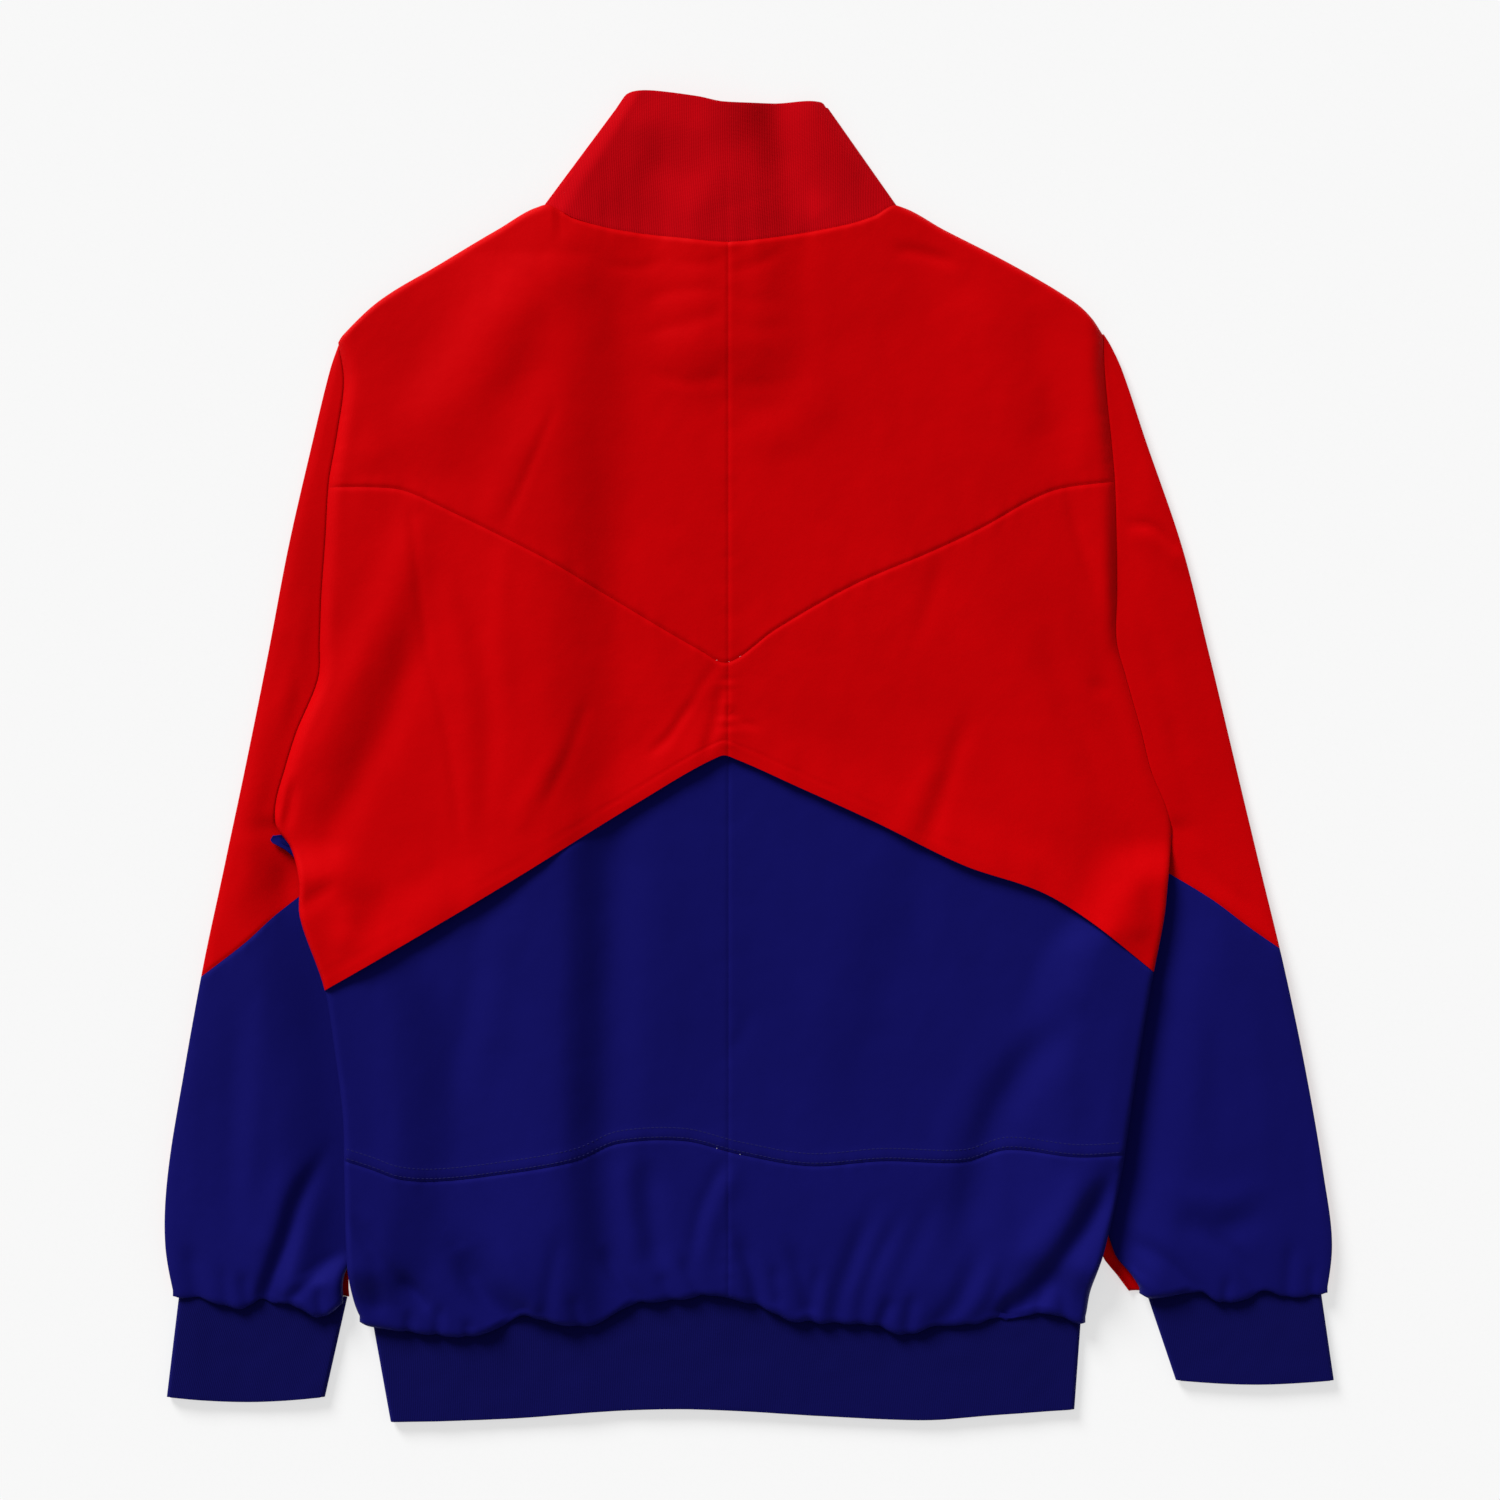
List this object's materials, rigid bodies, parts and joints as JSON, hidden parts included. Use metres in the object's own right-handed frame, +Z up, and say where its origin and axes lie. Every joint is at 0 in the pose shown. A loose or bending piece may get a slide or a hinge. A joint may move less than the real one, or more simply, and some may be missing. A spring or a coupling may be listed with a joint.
{
  "type": "windbreaker jacket",
  "caption": "Light zip-front windbreaker jacket with a stand collar, a loose chevron back cape, and ribbed hem and cuffs, laid flat face down.",
  "frame": {"origin": "on the table, under the middle of the jacket's outline box", "axes": "+X to the right and +Y towards the collar as seen from above, with the back up; +Z up from the table"},
  "size_m": [0.702, 0.7994, 0.0189],
  "materials": {
    "red_shell": "bright red woven nylon shell, soft sheen",
    "blue_shell": "deep royal blue woven nylon shell, soft sheen",
    "red_rib": "matte red fine rib knit",
    "navy_rib": "matte navy fine rib knit",
    "zip_tape": "woven zip tape",
    "zip_metal": "dull nickel"
  },
  "bodies": {
    "jacket": {"back_yoke_left": "red_shell", "back_cape_left": "red_shell", "back_body_left": "blue_shell", "back_lower_left": "blue_shell", "back_yoke_right": "red_shell", "back_cape_right": "red_shell", "back_body_right": "blue_shell", "back_lower_right": "blue_shell", "front_upper_left": "red_shell", "front_lower_left": "blue_shell", "front_upper_right": "red_shell", "front_lower_right": "blue_shell", "cuff_left": "navy_rib", "cuff_right": "navy_rib", "sleeve_upper_left": "red_shell", "sleeve_lower_left": "blue_shell", "under_sleeve_left": "red_shell", "sleeve_upper_right": "red_shell", "sleeve_lower_right": "blue_shell", "under_sleeve_right": "red_shell", "hem_band": "navy_rib", "collar": "red_rib", "zip_tape_left": "zip_tape", "zip_tape_right": "zip_tape", "zip_slider": "zip_metal"},
    "zip_pull": {"zip_pull": "zip_metal"}
  },
  "joints": [
    {"name": "pull_swing", "type": "hinge", "parent": "jacket", "child": "zip_pull", "pos_m": [-0.01261, 0.29589, 0.00215], "axis": [1, 0, 0], "range_deg": [-2, 170]}
  ]
}
